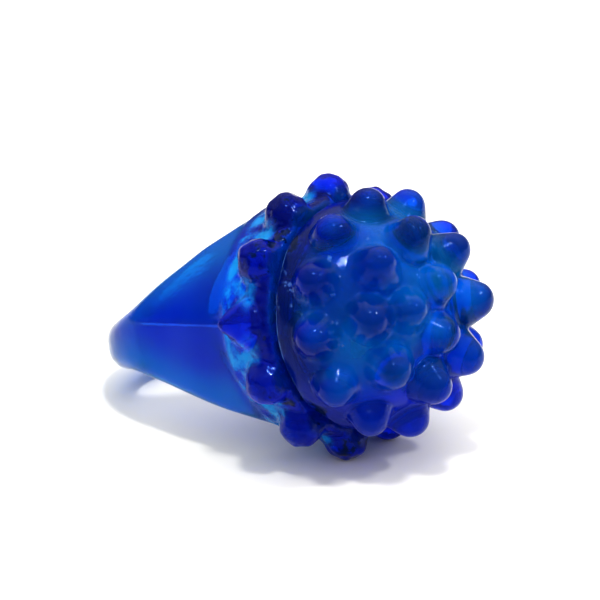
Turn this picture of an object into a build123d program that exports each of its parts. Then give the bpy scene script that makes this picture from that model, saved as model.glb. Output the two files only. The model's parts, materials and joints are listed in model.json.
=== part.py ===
"""Light-up jelly finger ring, lying on its side.

A soft translucent band carries a studded head. The head holds a sealed flash
module: a cup with two button cells, a circuit board with three lamps, a clear
cap, and a push button that is reached from inside the finger hole.

Millimetres. Row frame: +Z up, +X the way the dome points along the table,
origin under the middle of the ring. HEAD is the ring's own frame: x runs along
the finger hole, y across the band, z out through the top of the dome.
"""

from build123d import *
from math import atan2, cos, degrees, radians, sin
import os

os.makedirs("parts", exist_ok=True)

# How the ring lies on the table
TILT = 19.87
ROLL = 15.0
HEAD_CENTRE = (7.85, 0, 14.99)

# Band: soft, so it hangs over a little from the head, turned about the pivot
BAND_LEAN = 4.0
BAND_PIVOT = (0.0, -7.2)
BAND_R = 12.7
BAND_TOP = -6.0
HOLE_R = 9.4
HOLE_Z = -19.55
TAPER_TOP = 12.0
TAPER_END_Z = -23.5
TAPER_TIP = 2.7
TAPER_BLEND_R = 12.0
BAND_EDGE_R = 2.2
HOLE_EDGE_R = 0.9

# Head
COLLAR_R = 12.8
COLLAR_BACK = -7.2
COLLAR_CHAMFER = 0.5
COLLAR_SPARE = 3.0
SEAM_Z = -0.4
SEAM_R = 11.5
DOME_R = 12.3
DOME_FOOT = 0.5
DOME_SHOULDER = (8.2, 8.8)
DOME_TOP = 11.2
SKIRT_R = 10.5
SKIRT_Z = -2.5
SOFT_GAP = 0.1
MOUTH_R = 7.0

# Studs. A tip is (radius, height); a dome row is its tip, count and first angle
STUD_BASE_R = 2.75
STUD_H = 2.95
STUD_ROOT = 1.2
COLLAR_TIP_R = 2.3
DOME_TIP_R = 2.0
PARTING_TIP_R = 0.9
COLLAR_TIP = (15.3, -2.1)
COLLAR_LEAN = 10.0
PARTING_TIP = (15.4, -4.9)
PARTING_LEAN = -18.0
DOME_ROWS = (((13.5, 6.05), 12, 19.5), ((9.3, 11.9), 8, -5.0), ((3.65, 13.3), 3, 0.0))

# Flash module
CASE_R = 9.0
CASE_INNER_R = 8.05
CASE_FLOOR = -6.4
FLOOR_T = 0.8
CASE_RIM = 0.6
BOARD_SEAT_R = 8.4
BOARD_R = 8.3
BOARD_T = 0.8
BOARD_TOP = -0.1
LENS_SHOULDER = 2.4
LENS_TOP = 8.9
LENS_WALL = 0.9
LENS_SIDE = 1.0
CASE_CHAMFER = 0.4

# Button cells
CELL_R = 3.95
CELL_H = 3.6
CELL_WALL = 0.45
CELL_STEP = 0.3
CELL_SEAL = 0.4
CELL_Y = 4.0
CELL_Z = -5.35

# Contact strips
STRIP_T = 0.2
STRIP_W = 2.2
LEAF_T = 0.15
LEAF_W = 1.6
LEAF_L = 5.0

# Lamps
LAMP_R = 1.5
LAMP_FLANGE_R = 1.9
LAMP_FLANGE_T = 0.8
LAMP_H = 4.0
LAMP_FLAT = 0.15
LAMP_RING_R = 4.6
LAMP_STANDOFF = 0.4
LEAD_R = 0.22
LEAD_HOLE_R = 0.3
LEAD_PITCH = 1.27
LEAD_TAIL = 0.3
CHIP_R = 2.0
CHIP_H = 0.8

# Push button and its snap dome
BUTTON_X = 5.3
BUTTON_R = 1.6
BUTTON_FIT = 0.08
BUTTON_OUT = 2.4
BUTTON_FLANGE_R = 2.2
BUTTON_FLANGE_T = 0.5
BUTTON_STEM_R = 0.9
BUTTON_GAP = 0.04
BUTTON_ROUND = 0.5
SNAP_R = 2.1
SNAP_H = 0.5
SNAP_T = 0.12

tilt = radians(TILT)
roll = radians(ROLL)
outward = Vector(cos(tilt), 0, sin(tilt))
finger_way = Vector(-sin(tilt) * cos(roll), sin(roll), cos(tilt) * cos(roll))
HEAD = Plane(origin=HEAD_CENTRE, x_dir=finger_way, z_dir=outward)
DOME_AXIS = Axis(HEAD.origin, HEAD.z_dir)
# Half profiles are drawn on PROFILE: x is the radius, y the height along the dome axis
PROFILE = Plane(origin=HEAD.origin, x_dir=HEAD.x_dir, z_dir=-HEAD.y_dir)
# BAND is the band's own frame: HEAD leaned about the pivot, with heights still counted from the seam
lean = radians(BAND_LEAN)
band_way = HEAD.z_dir * cos(lean) + HEAD.x_dir * sin(lean)
pivot = HEAD.from_local_coords(Vector(BAND_PIVOT[0], 0, BAND_PIVOT[1]))
bore_way = HEAD.x_dir * cos(lean) - HEAD.z_dir * sin(lean)
BAND = Plane(origin=pivot - band_way * BAND_PIVOT[1], x_dir=bore_way, z_dir=band_way)
BAND_AXIS = Axis(BAND.origin, BAND.z_dir)
BAND_PROFILE = Plane(origin=BAND.origin, x_dir=BAND.x_dir, z_dir=-BAND.y_dir)
# HOLE_VIEW looks along the finger hole, TAPER_VIEW across it; both have the band's axis as x
HOLE_VIEW = Plane(origin=BAND.origin, x_dir=BAND.z_dir, z_dir=BAND.x_dir)
TAPER_VIEW = Plane(origin=BAND.origin, x_dir=BAND.z_dir, z_dir=BAND.y_dir)
FAR = 20.0


def at_height(z, x=0.0, y=0.0):
    """Plane square to the dome axis at height z, moved x along the finger hole and y across."""
    return Plane(origin=HEAD.from_local_coords(Vector(x, y, z)), x_dir=HEAD.x_dir, z_dir=HEAD.z_dir)


def height(point):
    """Height of a point along the dome axis."""
    return HEAD.to_local_coords(point).Z


def stud_seat(tip, rise, angle):
    """Plane under one stud, z out through its tip, rising above the radius; angle is from the band's side."""
    turn = radians(angle)
    out = Vector(sin(turn), cos(turn), 0)
    way = out * cos(radians(rise)) + Vector(0, 0, sin(radians(rise)))
    foot = out * tip[0] + Vector(0, 0, tip[1]) - way * STUD_H
    origin = HEAD.from_local_coords(foot)
    return Plane(origin=origin, z_dir=HEAD.from_local_coords(foot + way) - origin)


def keep(piece, name):
    """Label a finished piece and write its file."""
    piece.part.label = name
    export_step(piece.part, f"parts/{name}.step")


def make_stud(tip_r):
    """One stud, standing on the XY plane with its root below."""
    with BuildPart() as stud:
        with BuildSketch(Plane.XZ):
            with Locations((0, STUD_H - tip_r)):
                Circle(tip_r)
            with Locations((0, -STUD_ROOT / 2)):
                Rectangle(2 * STUD_BASE_R, STUD_ROOT)
            make_hull()
            with Locations((STUD_BASE_R, 0)):
                Rectangle(2 * STUD_BASE_R, 4 * STUD_H, mode=Mode.INTERSECT)
        revolve(axis=Axis.Z)
    return stud.part


collar_stud = make_stud(COLLAR_TIP_R)
dome_stud = make_stud(DOME_TIP_R)
parting_stud = make_stud(PARTING_TIP_R)
parting_seats = [stud_seat(PARTING_TIP, PARTING_LEAN, angle) for angle in (0, 180)]
collar_seats = [stud_seat(COLLAR_TIP, COLLAR_LEAN, 30 * k) for k in range(12) if k % 6]
dome_seats = []
for tip, count, first in DOME_ROWS:
    for k in range(count):
        dome_seats.append(stud_seat(tip, degrees(atan2(tip[1], tip[0])), first + k * 360 / count))

# Band: a round-ended post, narrowed to the tip, with the finger hole through it
with BuildPart() as band_core:
    with BuildSketch(BAND_PROFILE):
        with BuildLine():
            Line((0, HOLE_Z - BAND_R), (0, BAND_TOP))
            Line((0, BAND_TOP), (BAND_R, BAND_TOP))
            Line((BAND_R, BAND_TOP), (BAND_R, HOLE_Z))
            RadiusArc((BAND_R, HOLE_Z), (0, HOLE_Z - BAND_R), BAND_R)
        make_face()
    revolve(axis=BAND_AXIS)
    with BuildSketch(TAPER_VIEW):
        with BuildLine():
            for side in (1, -1):
                wide = (BAND_TOP, side * TAPER_TOP)
                narrow = (TAPER_END_Z, side * TAPER_TIP)
                end = (HOLE_Z - FAR, side * TAPER_TIP)
                FilletPolyline(wide, narrow, end, radius=TAPER_BLEND_R)
            Line((BAND_TOP, TAPER_TOP), (BAND_TOP, -TAPER_TOP))
            Line((HOLE_Z - FAR, TAPER_TIP), (HOLE_Z - FAR, -TAPER_TIP))
        make_face()
    extrude(amount=FAR, both=True, mode=Mode.INTERSECT)
    flanks = band_core.faces().filter_by(lambda f: abs(f.normal_at().dot(BAND.x_dir)) > 0.7)
    curved = flanks.edges().filter_by(GeomType.LINE, reverse=True)
    fillet(curved, BAND_EDGE_R)
    with BuildSketch(HOLE_VIEW):
        with Locations((HOLE_Z, 0)):
            Circle(HOLE_R)
    extrude(amount=FAR, both=True, mode=Mode.SUBTRACT)
    bore = band_core.faces().filter_by(GeomType.CYLINDER).filter_by(lambda f: abs(f.radius - HOLE_R) < 0.01)
    fillet(bore.edges().filter_by(lambda e: abs(e.tangent_at(0.5).dot(BAND.x_dir)) < 0.7), HOLE_EDGE_R)

# Jelly band: the collar with its back square to the band, the band below it, the studs and the pocket
with BuildPart() as jelly_band:
    with BuildSketch(at_height(COLLAR_BACK - COLLAR_SPARE)):
        Circle(COLLAR_R)
    extrude(amount=SEAM_Z - COLLAR_BACK + COLLAR_SPARE)
    chamfer(jelly_band.edges().group_by(lambda e: height(e.center()))[-1], COLLAR_CHAMFER)
    split(bisect_by=BAND.offset(COLLAR_BACK), keep=Keep.TOP)
    add(band_core.part)
    with Locations(*collar_seats):
        add(collar_stud)
    with Locations(*parting_seats):
        add(parting_stud)
    with BuildSketch(at_height(SEAM_Z)):
        Circle(COLLAR_R)
    extrude(amount=FAR, mode=Mode.SUBTRACT)
    with BuildSketch(at_height(SKIRT_Z)):
        Circle(SKIRT_R + SOFT_GAP)
    extrude(amount=FAR, mode=Mode.SUBTRACT)
    with BuildSketch(at_height(CASE_FLOOR)):
        Circle(CASE_R + SOFT_GAP)
    extrude(amount=FAR, mode=Mode.SUBTRACT)
    with BuildSketch(at_height(CASE_FLOOR)):
        Circle(MOUTH_R)
    extrude(amount=HOLE_Z - CASE_FLOOR, mode=Mode.SUBTRACT)
keep(jelly_band, "jelly_band")

# Jelly dome: a thick studded shell whose skirt plugs into the collar
with BuildPart() as jelly_dome:
    with BuildSketch(PROFILE):
        with BuildLine():
            Line((0, SKIRT_Z), (0, DOME_TOP))
            TangentArc((0, DOME_TOP), DOME_SHOULDER, tangent=(1, 0))
            TangentArc((DOME_R, DOME_FOOT), DOME_SHOULDER, tangent=(0, 1))
            Polyline((DOME_R, DOME_FOOT), (SEAM_R, SEAM_Z), (SKIRT_R, SEAM_Z))
            Polyline((SKIRT_R, SEAM_Z), (SKIRT_R, SKIRT_Z), (0, SKIRT_Z))
        make_face()
    revolve(axis=DOME_AXIS)
    with Locations(*dome_seats):
        add(dome_stud)
    with BuildSketch(PROFILE):
        with BuildLine():
            shoulder = (CASE_R + SOFT_GAP, LENS_SHOULDER)
            Line((0, LENS_TOP + SOFT_GAP), (0, SKIRT_Z))
            Polyline((0, SKIRT_Z), (CASE_R + SOFT_GAP, SKIRT_Z), shoulder)
            TangentArc((0, LENS_TOP + SOFT_GAP), shoulder, tangent=(1, 0))
        make_face()
    revolve(axis=DOME_AXIS, mode=Mode.SUBTRACT)
keep(jelly_dome, "jelly_dome")

# Case: the cup that holds the cells, with a ledge for the board and a hole for the button
with BuildPart() as module_case:
    with BuildSketch(at_height(CASE_FLOOR)):
        Circle(CASE_R)
    extrude(amount=CASE_RIM - CASE_FLOOR)
    with BuildSketch(at_height(CASE_FLOOR + FLOOR_T)):
        Circle(CASE_INNER_R)
    extrude(amount=FAR, mode=Mode.SUBTRACT)
    with BuildSketch(at_height(BOARD_TOP - BOARD_T)):
        Circle(BOARD_SEAT_R)
    extrude(amount=FAR, mode=Mode.SUBTRACT)
    with BuildSketch(at_height(CASE_FLOOR, BUTTON_X)):
        Circle(BUTTON_R + BUTTON_FIT)
    extrude(amount=FLOOR_T, mode=Mode.SUBTRACT)
    floor_rims = module_case.edges().group_by(lambda e: height(e.center()))[0]
    chamfer(floor_rims.sort_by(SortBy.RADIUS)[-1], CASE_CHAMFER)
keep(module_case, "module_case")

# Clear cap over the lamps, with a spigot inside the case's rim
with BuildPart() as module_lens:
    with BuildSketch(PROFILE):
        with BuildLine():
            Line((0, BOARD_TOP), (0, LENS_TOP))
            TangentArc((0, LENS_TOP), (CASE_R, LENS_SHOULDER), tangent=(1, 0))
            Polyline((CASE_R, LENS_SHOULDER), (CASE_R, CASE_RIM), (BOARD_R, CASE_RIM))
            Polyline((BOARD_R, CASE_RIM), (BOARD_R, BOARD_TOP), (0, BOARD_TOP))
        make_face()
    revolve(axis=DOME_AXIS)
    with BuildSketch(PROFILE):
        with BuildLine():
            shoulder = (CASE_R - LENS_SIDE, LENS_SHOULDER)
            Line((0, BOARD_TOP), (0, LENS_TOP - LENS_WALL))
            TangentArc((0, LENS_TOP - LENS_WALL), shoulder, tangent=(1, 0))
            Polyline(shoulder, (CASE_R - LENS_SIDE, BOARD_TOP), (0, BOARD_TOP))
        make_face()
    revolve(axis=DOME_AXIS, mode=Mode.SUBTRACT)
keep(module_lens, "module_lens")

# Circuit board, drilled for the lamps' leads
lamp_angles = (60.0, 180.0, 300.0)
lead_spots = []
for angle in lamp_angles:
    for side in (-LEAD_PITCH, LEAD_PITCH):
        x = LAMP_RING_R * cos(radians(angle)) - side * sin(radians(angle))
        y = LAMP_RING_R * sin(radians(angle)) + side * cos(radians(angle))
        lead_spots.append((x, y))
with BuildPart() as circuit_board:
    with BuildSketch(at_height(BOARD_TOP - BOARD_T)):
        Circle(BOARD_R)
        with Locations(*lead_spots):
            Circle(LEAD_HOLE_R, mode=Mode.SUBTRACT)
    extrude(amount=BOARD_T)
keep(circuit_board, "circuit_board")

# Sealed drop of resin over the flasher chip, in the middle of the board
with BuildPart() as controller_chip:
    with BuildSketch(PROFILE):
        with BuildLine():
            Polyline((CHIP_R, BOARD_TOP), (0, BOARD_TOP), (0, BOARD_TOP + CHIP_H))
            TangentArc((0, BOARD_TOP + CHIP_H), (CHIP_R, BOARD_TOP), tangent=(1, 0))
        make_face()
    revolve(axis=DOME_AXIS)
keep(controller_chip, "controller_chip")

# Three lamps, each a lens on a flange with two leads through the board
for colour, angle in zip(("red", "green", "blue"), lamp_angles):
    lamp_x = LAMP_RING_R * cos(radians(angle))
    lamp_y = LAMP_RING_R * sin(radians(angle))
    seat = at_height(BOARD_TOP + LAMP_STANDOFF, lamp_x, lamp_y)
    with BuildPart() as lamp:
        with BuildSketch(seat):
            Circle(LAMP_FLANGE_R)
        extrude(amount=LAMP_FLANGE_T)
        with BuildSketch(seat):
            Circle(LAMP_R)
        extrude(amount=LAMP_H)
        fillet(lamp.edges().group_by(lambda e: height(e.center()))[-1], LAMP_R - LAMP_FLAT)
    keep(lamp, "led_" + colour)
    with BuildPart() as leads:
        with BuildSketch(at_height(BOARD_TOP - BOARD_T - LEAD_TAIL)):
            with Locations(*lead_spots[2 * lamp_angles.index(angle):][:2]):
                Circle(LEAD_R)
        extrude(amount=LEAD_TAIL + BOARD_T + LAMP_STANDOFF)
    keep(leads, "led_" + colour + "_leads")

# Two button cells side by side, the second one upside down
for number, side in ((1, 1), (2, -1)):
    low = CELL_Z if side > 0 else CELL_Z + CELL_H
    seat = at_height(low, 0, side * CELL_Y)
    with BuildPart() as can:
        with BuildSketch(seat):
            Circle(CELL_R)
        extrude(amount=side * (CELL_H - CELL_STEP))
        with BuildSketch(seat.offset(side * CELL_WALL)):
            Circle(CELL_R - CELL_WALL)
        extrude(amount=side * CELL_H, mode=Mode.SUBTRACT)
    keep(can, f"cell_{number}_can")
    with BuildPart() as seal:
        with BuildSketch(seat.offset(side * CELL_WALL)):
            Circle(CELL_R - CELL_WALL)
            Circle(CELL_R - CELL_WALL - CELL_SEAL, mode=Mode.SUBTRACT)
        extrude(amount=side * (CELL_H - CELL_STEP - CELL_WALL))
    keep(seal, f"cell_{number}_seal")
    with BuildPart() as cell_cap:
        with BuildSketch(seat.offset(side * CELL_WALL)):
            Circle(CELL_R - CELL_WALL - CELL_SEAL)
        extrude(amount=side * (CELL_H - CELL_WALL))
    keep(cell_cap, f"cell_{number}_cap")

# Strip under both cells, joining them in series
with BuildPart() as bridge_contact:
    with BuildSketch(at_height(CELL_Z - STRIP_T)):
        SlotOverall(2 * CELL_Y + 2 * STRIP_W, STRIP_W, rotation=90)
    extrude(amount=STRIP_T)
keep(bridge_contact, "bridge_contact")

# Bowed leaf between each cell and the board
leaf_low = CELL_Z + CELL_H
leaf_high = BOARD_TOP - BOARD_T
for name, side in (("positive_contact", 1), ("negative_contact", -1)):
    bow = Plane(origin=at_height(0, -LEAF_W / 2, side * CELL_Y).origin, x_dir=HEAD.y_dir, z_dir=HEAD.x_dir)
    with BuildPart() as leaf:
        with BuildSketch(bow):
            with BuildLine():
                near = LEAF_L / 2
                wide = LEAF_L / 2 + LEAF_T
                ThreePointArc((-near, leaf_high), (0, leaf_low + LEAF_T), (near, leaf_high))
                ThreePointArc((-wide, leaf_high), (0, leaf_low), (wide, leaf_high))
                Line((-wide, leaf_high), (-near, leaf_high))
                Line((near, leaf_high), (wide, leaf_high))
            make_face()
        extrude(amount=LEAF_W)
    keep(leaf, name)

# Snap dome under the board: the spring that the button works against
snap_low = leaf_high - SNAP_H
snap_axis = Axis(at_height(0, BUTTON_X).origin, HEAD.z_dir)
SNAP_PROFILE = Plane(origin=at_height(0, BUTTON_X).origin, x_dir=HEAD.x_dir, z_dir=-HEAD.y_dir)
with BuildPart() as snap_dome:
    with BuildSketch(SNAP_PROFILE):
        with BuildLine():
            TangentArc((0, snap_low), (SNAP_R, leaf_high), tangent=(1, 0))
            Line((SNAP_R, leaf_high), (SNAP_R - SNAP_T, leaf_high))
            TangentArc((0, snap_low + SNAP_T), (SNAP_R - SNAP_T, leaf_high), tangent=(1, 0))
            Line((0, snap_low + SNAP_T), (0, snap_low))
        make_face()
    revolve(axis=snap_axis)
keep(snap_dome, "snap_dome")

# Push button: a round cap through the floor, a flange that keeps it in and a stem to the snap dome
inner_floor = CASE_FLOOR + FLOOR_T
with BuildPart() as push_button:
    with BuildSketch(at_height(CASE_FLOOR - BUTTON_OUT, BUTTON_X)):
        Circle(BUTTON_R)
    extrude(amount=BUTTON_OUT + FLOOR_T + BUTTON_GAP)
    fillet(push_button.edges().group_by(lambda e: height(e.center()))[0], BUTTON_ROUND)
    with BuildSketch(at_height(inner_floor + BUTTON_GAP, BUTTON_X)):
        Circle(BUTTON_FLANGE_R)
    extrude(amount=BUTTON_FLANGE_T)
    with BuildSketch(at_height(inner_floor, BUTTON_X)):
        Circle(BUTTON_STEM_R)
    extrude(amount=snap_low - BUTTON_GAP - inner_floor)
keep(push_button, "push_button")
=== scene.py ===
"""Light-up jelly finger ring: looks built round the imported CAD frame."""

import json
import math
from types import SimpleNamespace

import bpy
import numpy as np
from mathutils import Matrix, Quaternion, Vector, noise


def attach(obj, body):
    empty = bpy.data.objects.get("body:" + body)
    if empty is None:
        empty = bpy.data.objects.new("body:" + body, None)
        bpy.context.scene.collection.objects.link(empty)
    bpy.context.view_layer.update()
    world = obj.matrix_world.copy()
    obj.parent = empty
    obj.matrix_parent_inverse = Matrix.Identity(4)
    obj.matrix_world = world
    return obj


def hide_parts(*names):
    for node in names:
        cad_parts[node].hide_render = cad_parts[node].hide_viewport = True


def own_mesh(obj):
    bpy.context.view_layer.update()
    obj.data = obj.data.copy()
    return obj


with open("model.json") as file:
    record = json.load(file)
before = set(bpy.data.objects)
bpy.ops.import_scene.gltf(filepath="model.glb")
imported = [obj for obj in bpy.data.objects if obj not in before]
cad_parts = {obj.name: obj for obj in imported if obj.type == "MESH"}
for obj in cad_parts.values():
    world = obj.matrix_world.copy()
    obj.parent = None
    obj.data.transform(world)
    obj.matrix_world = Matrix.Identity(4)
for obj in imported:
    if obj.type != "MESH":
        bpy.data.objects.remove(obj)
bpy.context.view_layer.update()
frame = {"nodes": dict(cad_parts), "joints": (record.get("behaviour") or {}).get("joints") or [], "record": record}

MM = 0.001

# The ring's own frame: F along the finger hole, W across the band, D out of the dome, from the seam's middle.
# The band leans about a pivot on the dome axis, so the hole's own axis is turned from F by that lean.
BAND_PIVOT_D = -7.2 * MM
HOLE_D = -19.55 * MM
hole = next(m for m in frame["record"]["mounts"] if m["name"] == "finger_hole")
hole_way = Vector(hole["axis"]).normalized()
press = frame["joints"][0]
D = Vector(press["axis"]).normalized()
W = D.cross(hole_way).normalized()
F = W.cross(D)
band_way = hole_way.cross(W)
CENTRE = Vector(hole["pos_m"]) - band_way * (HOLE_D - BAND_PIVOT_D) - D * BAND_PIVOT_D
band_lean = math.acos(min(1.0, hole_way.dot(F)))

# Camera
AZIMUTH = math.radians(41.24)
ELEVATION = math.radians(24.47)
ROLL = math.radians(0.3)
DISTANCE = 1.5
PICTURE_WIDTH = 63.8 * MM
AIM_RIGHT = -5.74 * MM
AIM_UP = 1.6 * MM
SENSOR_WIDTH = 36.0
CLIP_START = 0.01

# Studio: a sky that is dark at the horizon, a paper floor and three square lights, in metres and watts
SKY_STOPS = ((0.1, (0.12, 0.12, 0.12)), (0.65, (1, 1, 1)))
SKY_STRENGTH = 1.25
PICTURE_GAMMA = 0.86
FLOOR_HALF = 1.5
FLOOR_COLOUR = (0.96, 0.94, 0.86)
FLOOR_ROUGHNESS = 0.9
LIGHTS = (
    SimpleNamespace(name="key", place=(-0.05, 0.12, 0.5), aim=(0, 0, 0.01), size=0.5, power=0.8),
    SimpleNamespace(name="spot", place=(0.12, -0.1, 0.5), aim=(0, 0, 0.015), size=0.05, power=1.0),
    SimpleNamespace(name="glint", place=(0.3, 0.15, 0.4), aim=(0, 0, 0.015), size=0.04, power=0.65),
)

# Jelly mesh: the CAD nodes remeshed and smoothed
VOXEL = 0.2 * MM
SMOOTH_TURNS = 14
SMOOTH_FACTOR = 0.5

# Mould line down the middle of the band's outside; it dies out towards the band's tip
LINE_HEIGHT = 0.09 * MM
LINE_HALF_WIDTH = 0.2 * MM
LINE_END_D = -22 * MM
LINE_FADE = 3 * MM
LINE_INNER_R = 10.5 * MM

# Unevenness of the moulded surfaces: height, size of a feature and seed. The roughness is on the collar only.
COLLAR_ROUGH = (0.16 * MM, 1.1 * MM, 3.0)
BAND_WAVE = (0.12 * MM, 5 * MM, 8.0)
DOME_WAVE = (0.22 * MM, 4 * MM, 5.0)
COLLAR_BACK_D = -7.2 * MM
COLLAR_FADE = 2 * MM
SEED_WAYS = (1, 1.7, 0.6)

# Jelly colours, linear
DEEP_BLUE = (0.0, 0.08, 0.95)
CLEAR_BLUE = (0.0, 0.28, 1.0)
FACE_AZURE = (0.0, 0.4, 0.97)
# Royal blue: the studs' own deeper colour, and painted shade low on the head
STUD_AND_SHADE_ROYAL = (0.0, 0.02, 0.98)
BAND_BLUE = (0.0, 0.14, 0.7)
RIM_AZURE = (0.0, 0.38, 0.85)
SCUFFED_AZURE = (0.01, 0.44, 0.95)
STRIPE_BLUE = (0.0, 0.02, 0.8)
# Painted shade: deeper blue round the dome's base, by the seam
FOOT_SHADE_BLUE = (0.0, 0.03, 0.75)
# Whitish: the lip by the seam, and frosted specks between the dome's studs lightened as painted highlights
PALE_LIP_AND_GLINT = (0.2, 0.45, 0.95)
DIRT_BLACK = (0.0, 0.01, 0.06)
SHINE_TINT = (0.06, 0.25, 1.0)
DEPTH_TINT = (0.0, 0.75, 0.91)
DEPTH_DENSITY = 900
CLOUD_STOPS = ((0.35, DEEP_BLUE), (0.68, CLEAR_BLUE))

# Jelly noises: features per metre, detail and roughness
CLOUD = (110, 2, 0.5)
STREAKS = (180, 4, 0.6)
SCUFFS = (420, 6, 0.62)
# Frosted specks between the dome's studs, lightened as painted highlights
FROST_GLINTS = (520, 6, 0.7)
GRIME = (260, 5, 0.6)
WRINKLES = (900, 5, 0.6)

# Parts of those noises that show: where the noise starts to count and where it counts in full
CLOUD_CLEAR = (0.42, 0.6)
SCUFFS_TORN = (0.3, 0.6)
FROST_GLINTS_SHOWN = (0.6, 0.66)
GRIME_SHOWN = (0.57, 0.62)

# Where the jelly changes, again from a start to the full change. Along D from the seam:
HEAD_D = (-7.5 * MM, -6.5 * MM)
BAND_D = (-7.0 * MM, -8.5 * MM)
BAND_NARROWING_D = (-8.0 * MM, -25.0 * MM)
COLLAR_TOP_D = (-1.6 * MM, -3.0 * MM)
# Painted shade round the dome's base, by the seam: where it starts and where it ends
SHADE_FOOT_START_D = (-0.3 * MM, 0.2 * MM)
SHADE_FOOT_END_D = (4.5 * MM, 2.0 * MM)
FACE_D = (2.5 * MM, 6.0 * MM)
STUD_PALER_D = (4.0 * MM, 9.0 * MM)
# Out from the dome axis, out from the seam's middle, up from the table and along F:
COLLAR_SKIN_R = (14.2 * MM, 13.2 * MM)
STUD_R = (12.6 * MM, 14.0 * MM)
# Painted shade: the head turns deeper royal blue low down near the table, where less light reaches
SHADED_LOW_Z = (17.0 * MM, 9.0 * MM)
RIM_F = (3.5 * MM, 8.0 * MM)
# The band's rims come closer to its middle as it narrows, and streaks make their edge uneven
NARROWED_BY = 5.0 * MM
STREAK_REACH = 1.0 * MM
# Rings round the head: the middle on D, then how far from it the ring starts and where it is full
STRIPE_AT = (-1.3 * MM, 1.1 * MM, 0.4 * MM)
LIP_AT = (0.3 * MM, 0.35 * MM, 0.1 * MM)
# Frosted specks between the dome's studs, lightened as painted highlights
FROST_GLINTS_AT = (4.2 * MM, 5.0 * MM, 3.0 * MM)
CRACK_AT = (-0.2 * MM, 0.45 * MM, 0.15 * MM)
GRIME_AT = (-0.2 * MM, 3.2 * MM, 1.6 * MM)

# Shares of the layers of colour and of the haze
FACE_SHARE = 0.6
STUD_SHARE = 0.9
STUD_PALER_SHARE = 0.35
# Painted shade low on the head
LOW_SHADE_SHARE = 0.9
BAND_SHARE = 0.5
RIM_SHARE = 0.8
# Painted shade round the dome's base
FOOT_SHADE_SHARE = 0.8
# Share of the frosted specks that serve as painted highlights
FROST_GLINT_SHARE = 0.6
CRACK_SHARE = 0.8
HAZE_SHARE = 0.3

# Jelly surface
JELLY_IOR = 1.28
COAT = 0.08
COAT_ROUGHNESS = 0.04
CLEAR_TRANSMISSION = 0.9
COVERED_TRANSMISSION = 0.42
JELLY_ROUGHNESS = (0.03, 0.22)
WRINKLE_HEIGHT = 0.2 * MM
WRINKLE_STRENGTH = 0.6
WRINKLE_OFF_COLLAR = 0.3

# Grain of the plain materials
GRAIN = (3000, 4, 0.5)
GRAIN_STOPS = (0.3, 0.7)
GRAIN_HEIGHT = 0.01 * MM
ROUGHNESS_SPREAD = 0.25

# Looks of the module's pieces, by the record's material slots
LOOKS = {
    "black_plastic": dict(colour=(0.012, 0.012, 0.014), roughness=0.35),
    "frosted_plastic": dict(colour=(0.6, 0.7, 0.72), roughness=0.35, transmission=0.55),
    "board": dict(colour=(0.01, 0.12, 0.04), roughness=0.4, spread=0.4),
    "chip_resin": dict(colour=(0.008, 0.008, 0.009), roughness=0.15),
    "contact_brass": dict(colour=(0.72, 0.5, 0.2), roughness=0.3, metallic=1.0),
    "spring_steel": dict(colour=(0.6, 0.6, 0.62), roughness=0.3, metallic=1.0),
    "button_plastic": dict(colour=(0.75, 0.75, 0.73), roughness=0.4),
    "cell_steel": dict(colour=(0.62, 0.62, 0.64), roughness=0.2, metallic=1.0, spread=0.08),
    "cell_seal": dict(colour=(0.03, 0.03, 0.035), roughness=0.6),
    "cell_cap": dict(colour=(0.66, 0.66, 0.67), roughness=0.2, metallic=1.0, spread=0.08),
    "tinned_wire": dict(colour=(0.7, 0.7, 0.7), roughness=0.2, metallic=1.0),
    "lamp_red": dict(colour=(0.8, 0.03, 0.02), roughness=0.12, transmission=0.7, spread=0.08),
    "lamp_green": dict(colour=(0.04, 0.6, 0.06), roughness=0.12, transmission=0.7, spread=0.08),
    "lamp_blue": dict(colour=(0.03, 0.08, 0.8), roughness=0.12, transmission=0.7, spread=0.08),
}


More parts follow.
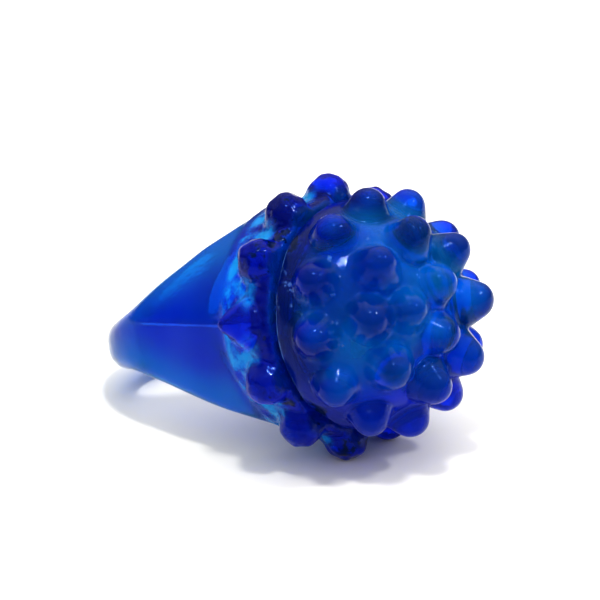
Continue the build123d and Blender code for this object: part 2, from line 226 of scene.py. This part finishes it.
class Tree:
    """The node tree of a material or a world. Most methods add a step and give back its result's socket."""

    def __init__(self, owner):
        owner.use_nodes = True
        self.nodes = owner.node_tree.nodes
        self.links = owner.node_tree.links

    def feed(self, socket, value):
        """Link another node's output to this input, or set it to a colour, a vector or a number."""
        if isinstance(value, bpy.types.NodeSocket):
            self.links.new(value, socket)
        elif isinstance(value, tuple):
            socket.default_value = (*value, 1)
        else:
            socket.default_value = value

    def place(self, kind="Object"):
        return self.nodes.new("ShaderNodeTexCoord").outputs[kind]

    def noise(self, scale, detail, roughness):
        speckle = self.nodes.new("ShaderNodeTexNoise")
        self.feed(speckle.inputs["Scale"], scale)
        self.feed(speckle.inputs["Detail"], detail)
        self.feed(speckle.inputs["Roughness"], roughness)
        self.feed(speckle.inputs["Vector"], self.place())
        return speckle.outputs["Fac"]

    def ramp(self, source, stops):
        """Colours along source; stops are (place, colour)."""
        ramp = self.nodes.new("ShaderNodeValToRGB")
        for element, (place, colour) in zip(ramp.color_ramp.elements, stops):
            element.position = place
            element.color = (*colour, 1)
        self.feed(ramp.inputs["Fac"], source)
        return ramp.outputs["Color"]

    def range(self, source, low, high):
        """Source's 0 to 1 as low to high."""
        span = self.nodes.new("ShaderNodeMapRange")
        self.feed(span.inputs["To Min"], low)
        self.feed(span.inputs["To Max"], high)
        self.feed(span.inputs["Value"], source)
        return span.outputs["Result"]

    def fade(self, source, start, end):
        """0 where source is at start, 1 at end, smooth between."""
        fade = self.nodes.new("ShaderNodeMapRange")
        fade.interpolation_type = "SMOOTHSTEP"
        self.feed(fade.inputs["From Min"], start)
        self.feed(fade.inputs["From Max"], end)
        self.feed(fade.inputs["Value"], source)
        return fade.outputs["Result"]

    def math(self, operation, *values):
        step = self.nodes.new("ShaderNodeMath")
        step.operation = operation
        for socket, value in zip(step.inputs, values):
            self.feed(socket, value)
        return step.outputs["Value"]

    def product(self, first, second):
        return self.math("MULTIPLY", first, second)

    def sum(self, first, second):
        return self.math("ADD", first, second)

    def highest(self, first, *others):
        for other in others:
            first = self.math("MAXIMUM", first, other)
        return first

    def near(self, source, middle, start, full):
        """0 where source is start or more from middle, 1 where it is full or less from it."""
        away = self.math("ABSOLUTE", self.sum(source, -middle))
        return self.fade(away, start, full)

    def vector_math(self, operation, *values):
        step = self.nodes.new("ShaderNodeVectorMath")
        step.operation = operation
        for socket, value in zip(step.inputs, values):
            self.feed(socket, value)
        return step.outputs["Value" if operation in ("DOT_PRODUCT", "LENGTH") else "Vector"]

    def mix(self, share, under, over):
        """Lay colour over on colour under, by its share."""
        mix = self.nodes.new("ShaderNodeMix")
        mix.data_type = "RGBA"
        under_socket, over_socket = [s for s in mix.inputs if s.type == "RGBA"]
        result = next(s for s in mix.outputs if s.type == "RGBA")
        self.feed(mix.inputs["Factor"], share)
        self.feed(under_socket, under)
        self.feed(over_socket, over)
        return result

    def bump(self, source, height, strength=1.0):
        bump = self.nodes.new("ShaderNodeBump")
        self.feed(bump.inputs["Distance"], height)
        self.feed(bump.inputs["Strength"], strength)
        self.feed(bump.inputs["Height"], source)
        return bump.outputs["Normal"]

    def skin(self, **values):
        """Set the surface shader's inputs; an input's name has _ for each space."""
        shader = self.nodes["Principled BSDF"]
        for name, value in values.items():
            self.feed(shader.inputs[name.replace("_", " ")], value)


def new_material(name):
    material = bpy.data.materials.new(name)
    return material, Tree(material)


def add_object(name, data):
    piece = bpy.data.objects.new(name, data)
    bpy.context.scene.collection.objects.link(piece)
    return piece


def add_camera():
    level = math.cos(ELEVATION)
    back = Vector((math.sin(AZIMUTH) * level, -math.cos(AZIMUTH) * level, math.sin(ELEVATION)))
    data = bpy.data.cameras.new("camera")
    data.sensor_width = SENSOR_WIDTH
    data.lens = SENSOR_WIDTH * DISTANCE / PICTURE_WIDTH
    data.clip_start = CLIP_START
    camera = add_object("camera", data)
    camera.rotation_mode = "QUATERNION"
    camera.rotation_quaternion = (-back).to_track_quat("-Z", "Y") @ Quaternion((0, 0, 1), ROLL)
    right = camera.rotation_quaternion @ Vector((1, 0, 0))
    up = camera.rotation_quaternion @ Vector((0, 1, 0))
    camera.location = CENTRE + back * DISTANCE + right * AIM_RIGHT + up * AIM_UP
    bpy.context.scene.camera = camera


def add_sky():
    world = bpy.data.worlds.new("studio")
    bpy.context.scene.world = world
    tree = Tree(world)
    parts = tree.nodes.new("ShaderNodeSeparateXYZ")
    tree.feed(parts.inputs["Vector"], tree.place("Generated"))
    background = tree.nodes["Background"]
    tree.feed(background.inputs["Color"], tree.ramp(parts.outputs["Z"], SKY_STOPS))
    tree.feed(background.inputs["Strength"], SKY_STRENGTH)


def add_floor():
    mesh = bpy.data.meshes.new("floor")
    corners = [(x * FLOOR_HALF, y * FLOOR_HALF, 0) for x, y in ((-1, -1), (1, -1), (1, 1), (-1, 1))]
    mesh.from_pydata(corners, [], [(0, 1, 2, 3)])
    material, tree = new_material("floor_paper")
    tree.skin(Base_Color=FLOOR_COLOUR, Roughness=FLOOR_ROUGHNESS, Specular_IOR_Level=0.0)
    mesh.materials.append(material)
    add_object("floor", mesh)


def add_light(light):
    data = bpy.data.lights.new(light.name, "AREA")
    data.size = light.size
    data.energy = light.power
    panel = add_object(light.name, data)
    panel.location = light.place
    panel.rotation_mode = "QUATERNION"
    panel.rotation_quaternion = (Vector(light.aim) - Vector(light.place)).to_track_quat("-Z", "Y")


def jelly_places(tree):
    """Sockets in metres that say where a point is: height and radius are taken from the dome's axis."""
    offset = tree.vector_math("SUBTRACT", tree.place(), CENTRE)
    across = tree.vector_math("CROSS_PRODUCT", offset, D)
    return SimpleNamespace(
        height=tree.vector_math("DOT_PRODUCT", offset, D),
        radius=tree.vector_math("LENGTH", across),
        distance=tree.vector_math("LENGTH", offset),
        level=tree.vector_math("DOT_PRODUCT", tree.place(), Vector((0, 0, 1))),
        aside=tree.math("ABSOLUTE", tree.vector_math("DOT_PRODUCT", offset, F)),
    )


def jelly_regions(tree, at):
    """Sockets from 0 to 1: how far a point is in each region of the jelly."""
    on_head = tree.fade(at.height, *HEAD_D)
    on_band = tree.fade(at.height, *BAND_D)
    below_top = tree.product(on_head, tree.fade(at.height, *COLLAR_TOP_D))
    narrowing = tree.range(tree.fade(at.height, *BAND_NARROWING_D), 0, NARROWED_BY)
    streaks = tree.range(tree.noise(*STREAKS), -STREAK_REACH, STREAK_REACH)
    reach = tree.sum(tree.sum(at.aside, narrowing), streaks)
    proud = tree.fade(at.distance, *STUD_R)
    return SimpleNamespace(
        face=tree.fade(at.height, *FACE_D),
        proud=proud,
        stud=tree.product(on_head, proud),
        # Painted shade: deeper and hazier low on the head, near the table
        shaded_low_side=tree.product(on_head, tree.fade(at.level, *SHADED_LOW_Z)),
        band=on_band,
        rim=tree.product(on_band, tree.fade(reach, *RIM_F)),
        collar=tree.product(below_top, tree.fade(at.radius, *COLLAR_SKIN_R)),
        stripe=tree.near(at.height, *STRIPE_AT),
        # Painted shade round the dome's base
        shaded_foot=tree.product(tree.fade(at.height, *SHADE_FOOT_END_D), tree.fade(at.height, *SHADE_FOOT_START_D)),
    )


def jelly_wear(tree, at, region):
    """Sockets from 0 to 1: scuffs on the collar, a whitish lip by the seam, whitish frosted specks between the
    dome's studs that also serve as painted highlights, and dirt in the seam.
    """
    torn = tree.fade(tree.noise(*SCUFFS), *SCUFFS_TORN)
    lip = tree.product(tree.near(at.height, *LIP_AT), torn)
    # Frosted specks, lightened to stand in as painted highlights between the studs
    glint_flecks = tree.fade(tree.noise(*FROST_GLINTS), *FROST_GLINTS_SHOWN)
    between_studs = tree.product(tree.near(at.height, *FROST_GLINTS_AT), tree.range(region.proud, 1.0, 0.0))
    frost_glints = tree.product(tree.product(glint_flecks, between_studs), FROST_GLINT_SHARE)
    blots = tree.fade(tree.noise(*GRIME), *GRIME_SHOWN)
    dirt = tree.product(tree.near(at.height, *GRIME_AT), blots)
    crack = tree.product(tree.near(at.height, *CRACK_AT), CRACK_SHARE)
    return SimpleNamespace(
        scuffed=tree.product(region.collar, torn),
        pale_and_glint=tree.highest(lip, frost_glints),
        dark=tree.highest(dirt, crack),
    )


def jelly_colour(tree, at, region, wear, cloud):
    """Layers of colour from the clouded jelly outwards, each laid over the last by its share."""
    stud_share = tree.range(tree.fade(at.height, *STUD_PALER_D), STUD_SHARE, STUD_PALER_SHARE)
    studs = tree.product(region.stud, stud_share)
    layers = (
        (tree.product(region.face, FACE_SHARE), FACE_AZURE),
        # Studs in their own deeper blue; the same royal blue low on the head is painted shade
        (tree.highest(studs, tree.product(region.shaded_low_side, LOW_SHADE_SHARE)), STUD_AND_SHADE_ROYAL),
        (tree.product(region.band, BAND_SHARE), BAND_BLUE),
        (tree.product(region.rim, RIM_SHARE), RIM_AZURE),
        (wear.scuffed, SCUFFED_AZURE),
        (region.stripe, STRIPE_BLUE),
        # Painted shade round the dome's base
        (tree.product(region.shaded_foot, FOOT_SHADE_SHARE), FOOT_SHADE_BLUE),
        # Whitish lip, and frosted specks as painted highlights
        (wear.pale_and_glint, PALE_LIP_AND_GLINT),
        (wear.dark, DIRT_BLACK),
    )
    colour = tree.ramp(cloud, CLOUD_STOPS)
    for share, layer in layers:
        colour = tree.mix(share, colour, layer)
    return colour


def jelly_material():
    """Blue clear rubber that takes up light inside it, with a skin hazy in places and scuffed by the seam; its
    colour also holds painted shade low on the head and round the dome's base, and painted highlights in whitish
    specks.
    """
    material, tree = new_material("blue_jelly")
    at = jelly_places(tree)
    region = jelly_regions(tree, at)
    wear = jelly_wear(tree, at, region)
    cloud = tree.noise(*CLOUD)
    milky = tree.product(region.face, tree.fade(cloud, *CLOUD_CLEAR))
    # The haze also deepens the painted shade low on the head
    haze = tree.product(tree.highest(milky, region.shaded_low_side, region.rim), HAZE_SHARE)
    cover = tree.highest(wear.dark, wear.scuffed, wear.pale_and_glint, haze)
    wrinkles = tree.noise(*WRINKLES)
    creases = tree.product(wrinkles, tree.range(region.collar, WRINKLE_OFF_COLLAR, 1.0))
    tree.skin(
        Base_Color=jelly_colour(tree, at, region, wear, cloud),
        Transmission_Weight=tree.range(cover, CLEAR_TRANSMISSION, COVERED_TRANSMISSION),
        Roughness=tree.range(wrinkles, *JELLY_ROUGHNESS),
        Normal=tree.bump(creases, WRINKLE_HEIGHT, WRINKLE_STRENGTH),
        IOR=JELLY_IOR,
        Specular_Tint=SHINE_TINT,
        Coat_Weight=COAT,
        Coat_Roughness=COAT_ROUGHNESS,
    )
    absorb = tree.nodes.new("ShaderNodeVolumeAbsorption")
    tree.feed(absorb.inputs["Color"], DEPTH_TINT)
    tree.feed(absorb.inputs["Density"], DEPTH_DENSITY)
    tree.feed(tree.nodes["Material Output"].inputs["Volume"], absorb.outputs["Volume"])
    return material


def plain_material(name, colour, roughness, metallic=0.0, transmission=0.0, spread=0.15):
    """A moulded or rolled finish: colour and gloss that vary a little with a fine grain."""
    material, tree = new_material(name)
    grain = tree.noise(*GRAIN)
    shades = [tuple(min(1.0, c * way) for c in colour) for way in (1 - spread, 1 + spread)]
    glossy = roughness * (1 - ROUGHNESS_SPREAD)
    dull = min(1.0, roughness * (1 + ROUGHNESS_SPREAD))
    tree.skin(
        Base_Color=tree.ramp(grain, tuple(zip(GRAIN_STOPS, shades))),
        Roughness=tree.range(grain, glossy, dull),
        Normal=tree.bump(grain, GRAIN_HEIGHT),
        Metallic=metallic,
        Transmission_Weight=transmission,
    )
    return material


def own_places(mesh):
    """Vertex places in the ring's own frame, as columns f, w, d in metres."""
    places = np.empty(len(mesh.vertices) * 3)
    mesh.vertices.foreach_get("co", places)
    axes = np.array([F, W, D])
    return (places.reshape(-1, 3) - np.array(CENTRE)) @ axes.T


def push_out(mesh, amount):
    """Move each vertex along its normal by its amount."""
    places = np.empty(len(mesh.vertices) * 3)
    normals = np.empty(len(mesh.vertices) * 3)
    mesh.vertices.foreach_get("co", places)
    mesh.vertices.foreach_get("normal", normals)
    moved = places.reshape(-1, 3) + normals.reshape(-1, 3) * amount[:, None]
    mesh.vertices.foreach_set("co", moved.ravel())
    mesh.update()


def ripple(mesh, height, size, seed):
    """Smooth noise at each vertex, as high as height at most, with features about size across."""
    shift = Vector([seed * way for way in SEED_WAYS])
    return height * np.array([noise.noise(v.co / size + shift) for v in mesh.vertices])


def stand_in(piece, node):
    """Piece is shown for a CAD node of the ring's body: it rides with the ring and the node is hidden."""
    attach(piece, "ring")
    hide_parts(node)


def set_material(mesh, material):
    mesh.materials.clear()
    mesh.materials.append(material)


def gel_from(node, name, material):
    """Soft mesh for a CAD node: remeshed fine and smoothed, so that its moulded parts run together."""
    piece = add_object(name, frame["nodes"][node].data.copy())
    piece.data.materials.clear()
    remesh = piece.modifiers.new("remesh", "REMESH")
    remesh.mode = "VOXEL"
    remesh.voxel_size = VOXEL
    smooth = piece.modifiers.new("smooth", "SMOOTH")
    smooth.factor = SMOOTH_FACTOR
    smooth.iterations = SMOOTH_TURNS
    evaluated = piece.evaluated_get(bpy.context.evaluated_depsgraph_get())
    mesh = bpy.data.meshes.new_from_object(evaluated)
    piece.modifiers.clear()
    piece.data = mesh
    set_material(mesh, material)
    mesh.polygons.foreach_set("use_smooth", [True] * len(mesh.polygons))
    stand_in(piece, node)
    return piece


def mould_line(mesh):
    """How far the mould line stands out at each vertex: on the band's outside, in its middle plane."""
    f, w, d = own_places(mesh).T
    from_middle = f + np.minimum(d - BAND_PIVOT_D, 0) * math.tan(band_lean)
    outside = np.hypot(w, np.minimum(d - HOLE_D, 0)) > LINE_INNER_R
    shown = np.clip((d - LINE_END_D) / LINE_FADE, 0, 1)
    return LINE_HEIGHT * np.exp(-((from_middle / LINE_HALF_WIDTH) ** 2)) * outside * shown


def gel_band(material):
    """Band with its collar: mould line, a slow wave, and a rougher collar."""
    mesh = gel_from("jelly_band", "jelly_band_skin", material).data
    d = own_places(mesh)[:, 2]
    on_collar = np.clip((d - COLLAR_BACK_D) / COLLAR_FADE, 0, 1)
    push_out(mesh, mould_line(mesh) + ripple(mesh, *COLLAR_ROUGH) * on_collar + ripple(mesh, *BAND_WAVE))


def gel_dome(material):
    mesh = gel_from("jelly_dome", "jelly_dome_skin", material).data
    push_out(mesh, ripple(mesh, *DOME_WAVE))


def sprung_dome(material):
    """Snap dome under the button, shown as a copy of its CAD node."""
    piece = add_object("sprung_dome", frame["nodes"]["snap_dome"].data.copy())
    set_material(piece.data, material)
    d = own_places(piece.data)[:, 2]
    stand_in(piece, "snap_dome")
    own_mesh(piece)


add_camera()
add_sky()
add_floor()
for light in LIGHTS:
    add_light(light)
bpy.context.scene.view_settings.view_transform = "Standard"
bpy.context.scene.view_settings.gamma = PICTURE_GAMMA

jelly = jelly_material()
gel_band(jelly)
gel_dome(jelly)
finishes = {slot: plain_material(slot, **look) for slot, look in LOOKS.items()}
sprung_dome(finishes["spring_steel"])
for subpart in frame["record"]["subparts"]:
    if subpart["material_slot"] in finishes:
        set_material(frame["nodes"][subpart["node"]].data, finishes[subpart["material_slot"]])
